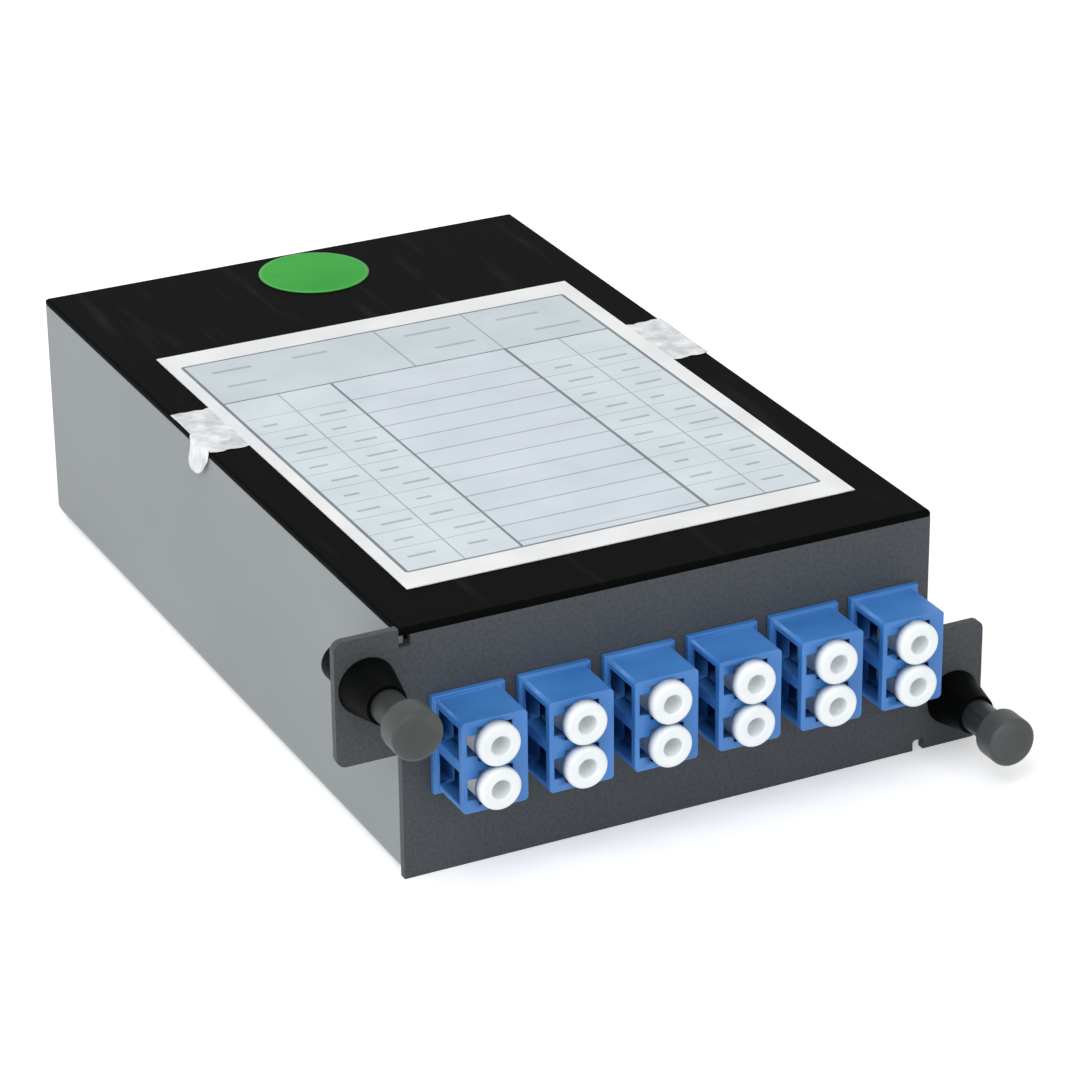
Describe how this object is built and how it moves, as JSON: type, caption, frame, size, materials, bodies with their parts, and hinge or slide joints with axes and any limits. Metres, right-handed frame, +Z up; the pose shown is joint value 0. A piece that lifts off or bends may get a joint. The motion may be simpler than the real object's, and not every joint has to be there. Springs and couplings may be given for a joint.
{
  "type": "fibre optic cassette",
  "caption": "Flat box that breaks a rear multi-fibre trunk out to a row of capped duplex ports, held in a rack by push-pull latches in its ears.",
  "frame": {"origin": "centre of the underside", "axes": "+X to the right, +Y from the front panel to the rear wall, +Z up"},
  "size_m": [0.096, 0.1595, 0.0362],
  "materials": {
    "dust_cap": "milky white soft plastic",
    "fanout_block": "black moulded plastic",
    "fanout_bracket": "white moulded plastic",
    "fibre_guide": "white moulded plastic",
    "fibre_lead": "yellow lead jacket",
    "front_panel": "dark grey fine powder coat",
    "label": "matt coated label stock",
    "latch_grommet": "black moulded nylon",
    "latch_plunger": "black moulded nylon",
    "lc_adapter": "blue moulded thermoplastic",
    "lc_plug": "blue moulded thermoplastic",
    "lid": "black moulded, low sheen",
    "mpo_adapter": "black moulded thermoplastic",
    "mpo_boot": "black soft boot",
    "mpo_collar": "green moulded thermoplastic",
    "mpo_dust_cap": "black soft plastic",
    "mpo_plug": "black moulded thermoplastic",
    "mt_ferrule": "filled thermoplastic, ground face",
    "ribbon_cable": "yellow ribbon jacket",
    "round_sticker": "matt green label stock",
    "tray": "satin grey painted sheet"
  },
  "bodies": {
    "cassette": {"fanout_block": "fanout_block", "fanout_bracket": "fanout_bracket", "fibre_guide": "fibre_guide", "fibre_lead_1": "fibre_lead", "fibre_lead_2": "fibre_lead", "fibre_lead_3": "fibre_lead", "fibre_lead_4": "fibre_lead", "fibre_lead_5": "fibre_lead", "fibre_lead_6": "fibre_lead", "front_panel": "front_panel", "label": "label", "latch_grommet_left": "latch_grommet", "latch_grommet_right": "latch_grommet", "lc_adapter_1": "lc_adapter", "lc_adapter_2": "lc_adapter", "lc_adapter_3": "lc_adapter", "lc_adapter_4": "lc_adapter", "lc_adapter_5": "lc_adapter", "lc_adapter_6": "lc_adapter", "lc_plug_1": "lc_plug", "lc_plug_2": "lc_plug", "lc_plug_3": "lc_plug", "lc_plug_4": "lc_plug", "lc_plug_5": "lc_plug", "lc_plug_6": "lc_plug", "lid": "lid", "mpo_adapter": "mpo_adapter", "mpo_boot": "mpo_boot", "mpo_plug": "mpo_plug", "mt_ferrule": "mt_ferrule", "ribbon_cable": "ribbon_cable", "round_sticker": "round_sticker", "tray": "tray"},
    "cap_1_lower": {"dust_cap_1_lower": "dust_cap"},
    "cap_1_upper": {"dust_cap_1_upper": "dust_cap"},
    "cap_2_lower": {"dust_cap_2_lower": "dust_cap"},
    "cap_2_upper": {"dust_cap_2_upper": "dust_cap"},
    "cap_3_lower": {"dust_cap_3_lower": "dust_cap"},
    "cap_3_upper": {"dust_cap_3_upper": "dust_cap"},
    "cap_4_lower": {"dust_cap_4_lower": "dust_cap"},
    "cap_4_upper": {"dust_cap_4_upper": "dust_cap"},
    "cap_5_lower": {"dust_cap_5_lower": "dust_cap"},
    "cap_5_upper": {"dust_cap_5_upper": "dust_cap"},
    "cap_6_lower": {"dust_cap_6_lower": "dust_cap"},
    "cap_6_upper": {"dust_cap_6_upper": "dust_cap"},
    "plunger_left": {"latch_plunger_left": "latch_plunger"},
    "plunger_right": {"latch_plunger_right": "latch_plunger"},
    "mpo_cap": {"mpo_dust_cap": "mpo_dust_cap"},
    "collar": {"mpo_collar": "mpo_collar"}
  },
  "joints": [
    {"name": "cap_1_lower_pull", "type": "slide", "parent": "cassette", "child": "cap_1_lower", "axis": [0, -1, 0], "range_m": [0, 0.025]},
    {"name": "cap_1_upper_pull", "type": "slide", "parent": "cassette", "child": "cap_1_upper", "axis": [0, -1, 0], "range_m": [0, 0.025]},
    {"name": "cap_2_lower_pull", "type": "slide", "parent": "cassette", "child": "cap_2_lower", "axis": [0, -1, 0], "range_m": [0, 0.025]},
    {"name": "cap_2_upper_pull", "type": "slide", "parent": "cassette", "child": "cap_2_upper", "axis": [0, -1, 0], "range_m": [0, 0.025]},
    {"name": "cap_3_lower_pull", "type": "slide", "parent": "cassette", "child": "cap_3_lower", "axis": [0, -1, 0], "range_m": [0, 0.025]},
    {"name": "cap_3_upper_pull", "type": "slide", "parent": "cassette", "child": "cap_3_upper", "axis": [0, -1, 0], "range_m": [0, 0.025]},
    {"name": "cap_4_lower_pull", "type": "slide", "parent": "cassette", "child": "cap_4_lower", "axis": [0, -1, 0], "range_m": [0, 0.025]},
    {"name": "cap_4_upper_pull", "type": "slide", "parent": "cassette", "child": "cap_4_upper", "axis": [0, -1, 0], "range_m": [0, 0.025]},
    {"name": "cap_5_lower_pull", "type": "slide", "parent": "cassette", "child": "cap_5_lower", "axis": [0, -1, 0], "range_m": [0, 0.025]},
    {"name": "cap_5_upper_pull", "type": "slide", "parent": "cassette", "child": "cap_5_upper", "axis": [0, -1, 0], "range_m": [0, 0.025]},
    {"name": "cap_6_lower_pull", "type": "slide", "parent": "cassette", "child": "cap_6_lower", "axis": [0, -1, 0], "range_m": [0, 0.025]},
    {"name": "cap_6_upper_pull", "type": "slide", "parent": "cassette", "child": "cap_6_upper", "axis": [0, -1, 0], "range_m": [0, 0.025]},
    {"name": "plunger_left_push", "type": "slide", "parent": "cassette", "child": "plunger_left", "axis": [0, 1, 0], "range_m": [0, 0.005]},
    {"name": "plunger_right_push", "type": "slide", "parent": "cassette", "child": "plunger_right", "axis": [0, 1, 0], "range_m": [0, 0.005]},
    {"name": "mpo_cap_pull", "type": "slide", "parent": "cassette", "child": "mpo_cap", "axis": [0, 1, 0], "range_m": [0, 0.025]},
    {"name": "mpo_collar_pull", "type": "slide", "parent": "cassette", "child": "collar", "axis": [0, -1, 0], "range_m": [0, 0.0015], "stiffness_N_per_m": 300}
  ]
}
